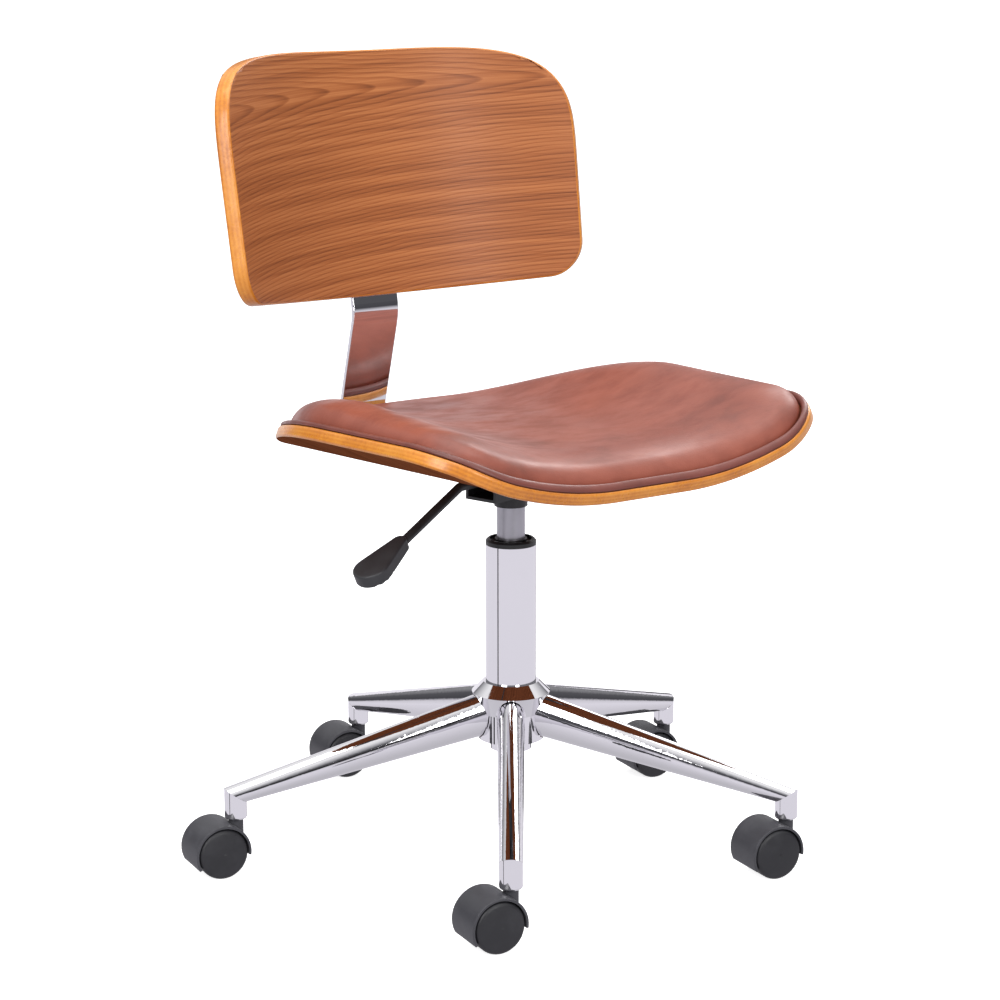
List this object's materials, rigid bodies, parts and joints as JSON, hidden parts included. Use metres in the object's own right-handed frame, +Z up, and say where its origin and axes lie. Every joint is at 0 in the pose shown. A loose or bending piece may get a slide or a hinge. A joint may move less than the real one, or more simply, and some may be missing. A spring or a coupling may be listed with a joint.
{
  "type": "office chair",
  "caption": "Low-back office chair: bent plywood seat with leather pad, curved plywood back on a chromed flat bar, gas-lift column with height lever, chromed star base on twin-wheel casters.",
  "frame": {"origin": "on the floor under the column axis", "axes": "+Z up along the column; the sitter faces -Y; the height lever is towards -X, at the sitter's right"},
  "size_m": [0.5995, 0.5623, 0.7775],
  "materials": {
    "chrome": "polished",
    "caster_nylon": "matte charcoal",
    "plain_steel": "zinc plated",
    "grey_cylinder": "satin grey",
    "black_plastic": "satin black",
    "black_steel": "powder-coated black",
    "walnut_plywood": "satin lacquer",
    "brown_leather": "vintage, soft sheen"
  },
  "bodies": {
    "base": {"base_hub": "chrome", "base_leg_1": "chrome", "base_leg_2": "chrome", "base_leg_3": "chrome", "base_leg_4": "chrome", "base_leg_5": "chrome", "caster_sockets": "chrome", "lift_tube": "chrome", "lift_guide_bush": "black_plastic", "thrust_bearing": "plain_steel"},
    "spindle": {"piston_rod": "plain_steel", "lift_piston": "plain_steel", "rod_clip": "plain_steel"},
    "seat": {"lift_cylinder": "grey_cylinder", "taper_socket": "black_steel", "mechanism_channel": "black_steel", "seat_plate": "black_steel", "lever_pin": "plain_steel", "seat_shell": "walnut_plywood", "seat_pad": "brown_leather", "seat_piping": "brown_leather", "seat_bolts": "plain_steel", "seat_tee_nuts": "plain_steel", "bar_bolts": "plain_steel", "bar_tee_nuts": "plain_steel", "back_bar": "chrome", "backrest_panel": "walnut_plywood", "backrest_bolts": "plain_steel", "backrest_inserts": "plain_steel"},
    "lever": {"lever_rod": "black_steel", "lever_paddle": "black_plastic"},
    "release": {"release_pin": "plain_steel"},
    "caster_1": {"caster_hood_1": "caster_nylon", "caster_stem_1": "plain_steel", "caster_axle_1": "plain_steel"},
    "wheel_1a": {"caster_wheel_1a": "caster_nylon"},
    "wheel_1b": {"caster_wheel_1b": "caster_nylon"},
    "caster_2": {"caster_hood_2": "caster_nylon", "caster_stem_2": "plain_steel", "caster_axle_2": "plain_steel"},
    "wheel_2a": {"caster_wheel_2a": "caster_nylon"},
    "wheel_2b": {"caster_wheel_2b": "caster_nylon"},
    "caster_3": {"caster_hood_3": "caster_nylon", "caster_stem_3": "plain_steel", "caster_axle_3": "plain_steel"},
    "wheel_3a": {"caster_wheel_3a": "caster_nylon"},
    "wheel_3b": {"caster_wheel_3b": "caster_nylon"},
    "caster_4": {"caster_hood_4": "caster_nylon", "caster_stem_4": "plain_steel", "caster_axle_4": "plain_steel"},
    "wheel_4a": {"caster_wheel_4a": "caster_nylon"},
    "wheel_4b": {"caster_wheel_4b": "caster_nylon"},
    "caster_5": {"caster_hood_5": "caster_nylon", "caster_stem_5": "plain_steel", "caster_axle_5": "plain_steel"},
    "wheel_5a": {"caster_wheel_5a": "caster_nylon"},
    "wheel_5b": {"caster_wheel_5b": "caster_nylon"}
  },
  "joints": [
    {"name": "seat_swivel", "type": "hinge", "parent": "base", "child": "spindle", "pos_m": [0, 0, 0.098], "axis": [0, 0, 1], "continuous": true},
    {"name": "seat_lift", "type": "slide", "parent": "spindle", "child": "seat", "axis": [0, 0, 1], "range_m": [0, 0.1]},
    {"name": "lever_lift", "type": "hinge", "parent": "seat", "child": "lever", "pos_m": [-0.02904, -0.00751, 0.3769], "axis": [-0.2504, 0.9681, 0], "range_deg": [0, 6], "stiffness_Nm_per_rad": 0.6},
    {"name": "valve_press", "type": "slide", "parent": "seat", "child": "release", "axis": [0, 0, -1], "range_m": [0, 0.0032]},
    {"name": "caster_swivel_1", "type": "hinge", "parent": "base", "child": "caster_1", "pos_m": [0, 0.282, 0.053], "axis": [0, 0, 1], "continuous": true},
    {"name": "wheel_spin_1a", "type": "hinge", "parent": "caster_1", "child": "wheel_1a", "pos_m": [-0.02074, 0.28529, 0.025], "axis": [-0.1564, -0.9877, 0], "continuous": true},
    {"name": "wheel_spin_1b", "type": "hinge", "parent": "caster_1", "child": "wheel_1b", "pos_m": [-0.02074, 0.28529, 0.025], "axis": [-0.1564, -0.9877, 0], "continuous": true},
    {"name": "caster_swivel_2", "type": "hinge", "parent": "base", "child": "caster_2", "pos_m": [-0.2682, 0.08714, 0.053], "axis": [0, 0, 1], "continuous": true},
    {"name": "wheel_spin_2a", "type": "hinge", "parent": "caster_2", "child": "wheel_2a", "pos_m": [-0.28894, 0.09043, 0.025], "axis": [-0.1564, -0.9877, 0], "continuous": true},
    {"name": "wheel_spin_2b", "type": "hinge", "parent": "caster_2", "child": "wheel_2b", "pos_m": [-0.28894, 0.09043, 0.025], "axis": [-0.1564, -0.9877, 0], "continuous": true},
    {"name": "caster_swivel_3", "type": "hinge", "parent": "base", "child": "caster_3", "pos_m": [-0.16576, -0.22814, 0.053], "axis": [0, 0, 1], "continuous": true},
    {"name": "wheel_spin_3a", "type": "hinge", "parent": "caster_3", "child": "wheel_3a", "pos_m": [-0.1865, -0.22486, 0.025], "axis": [-0.1564, -0.9877, 0], "continuous": true},
    {"name": "wheel_spin_3b", "type": "hinge", "parent": "caster_3", "child": "wheel_3b", "pos_m": [-0.1865, -0.22486, 0.025], "axis": [-0.1564, -0.9877, 0], "continuous": true},
    {"name": "caster_swivel_4", "type": "hinge", "parent": "base", "child": "caster_4", "pos_m": [0.16576, -0.22814, 0.053], "axis": [0, 0, 1], "continuous": true},
    {"name": "wheel_spin_4a", "type": "hinge", "parent": "caster_4", "child": "wheel_4a", "pos_m": [0.14501, -0.22486, 0.025], "axis": [-0.1564, -0.9877, 0], "continuous": true},
    {"name": "wheel_spin_4b", "type": "hinge", "parent": "caster_4", "child": "wheel_4b", "pos_m": [0.14501, -0.22486, 0.025], "axis": [-0.1564, -0.9877, 0], "continuous": true},
    {"name": "caster_swivel_5", "type": "hinge", "parent": "base", "child": "caster_5", "pos_m": [0.2682, 0.08714, 0.053], "axis": [0, 0, 1], "continuous": true},
    {"name": "wheel_spin_5a", "type": "hinge", "parent": "caster_5", "child": "wheel_5a", "pos_m": [0.24746, 0.09043, 0.025], "axis": [-0.1564, -0.9877, 0], "continuous": true},
    {"name": "wheel_spin_5b", "type": "hinge", "parent": "caster_5", "child": "wheel_5b", "pos_m": [0.24746, 0.09043, 0.025], "axis": [-0.1564, -0.9877, 0], "continuous": true}
  ],
  "couplings": [
    {"joint": "valve_press", "follows": "lever_lift", "m_per_rad": 0.03}
  ]
}
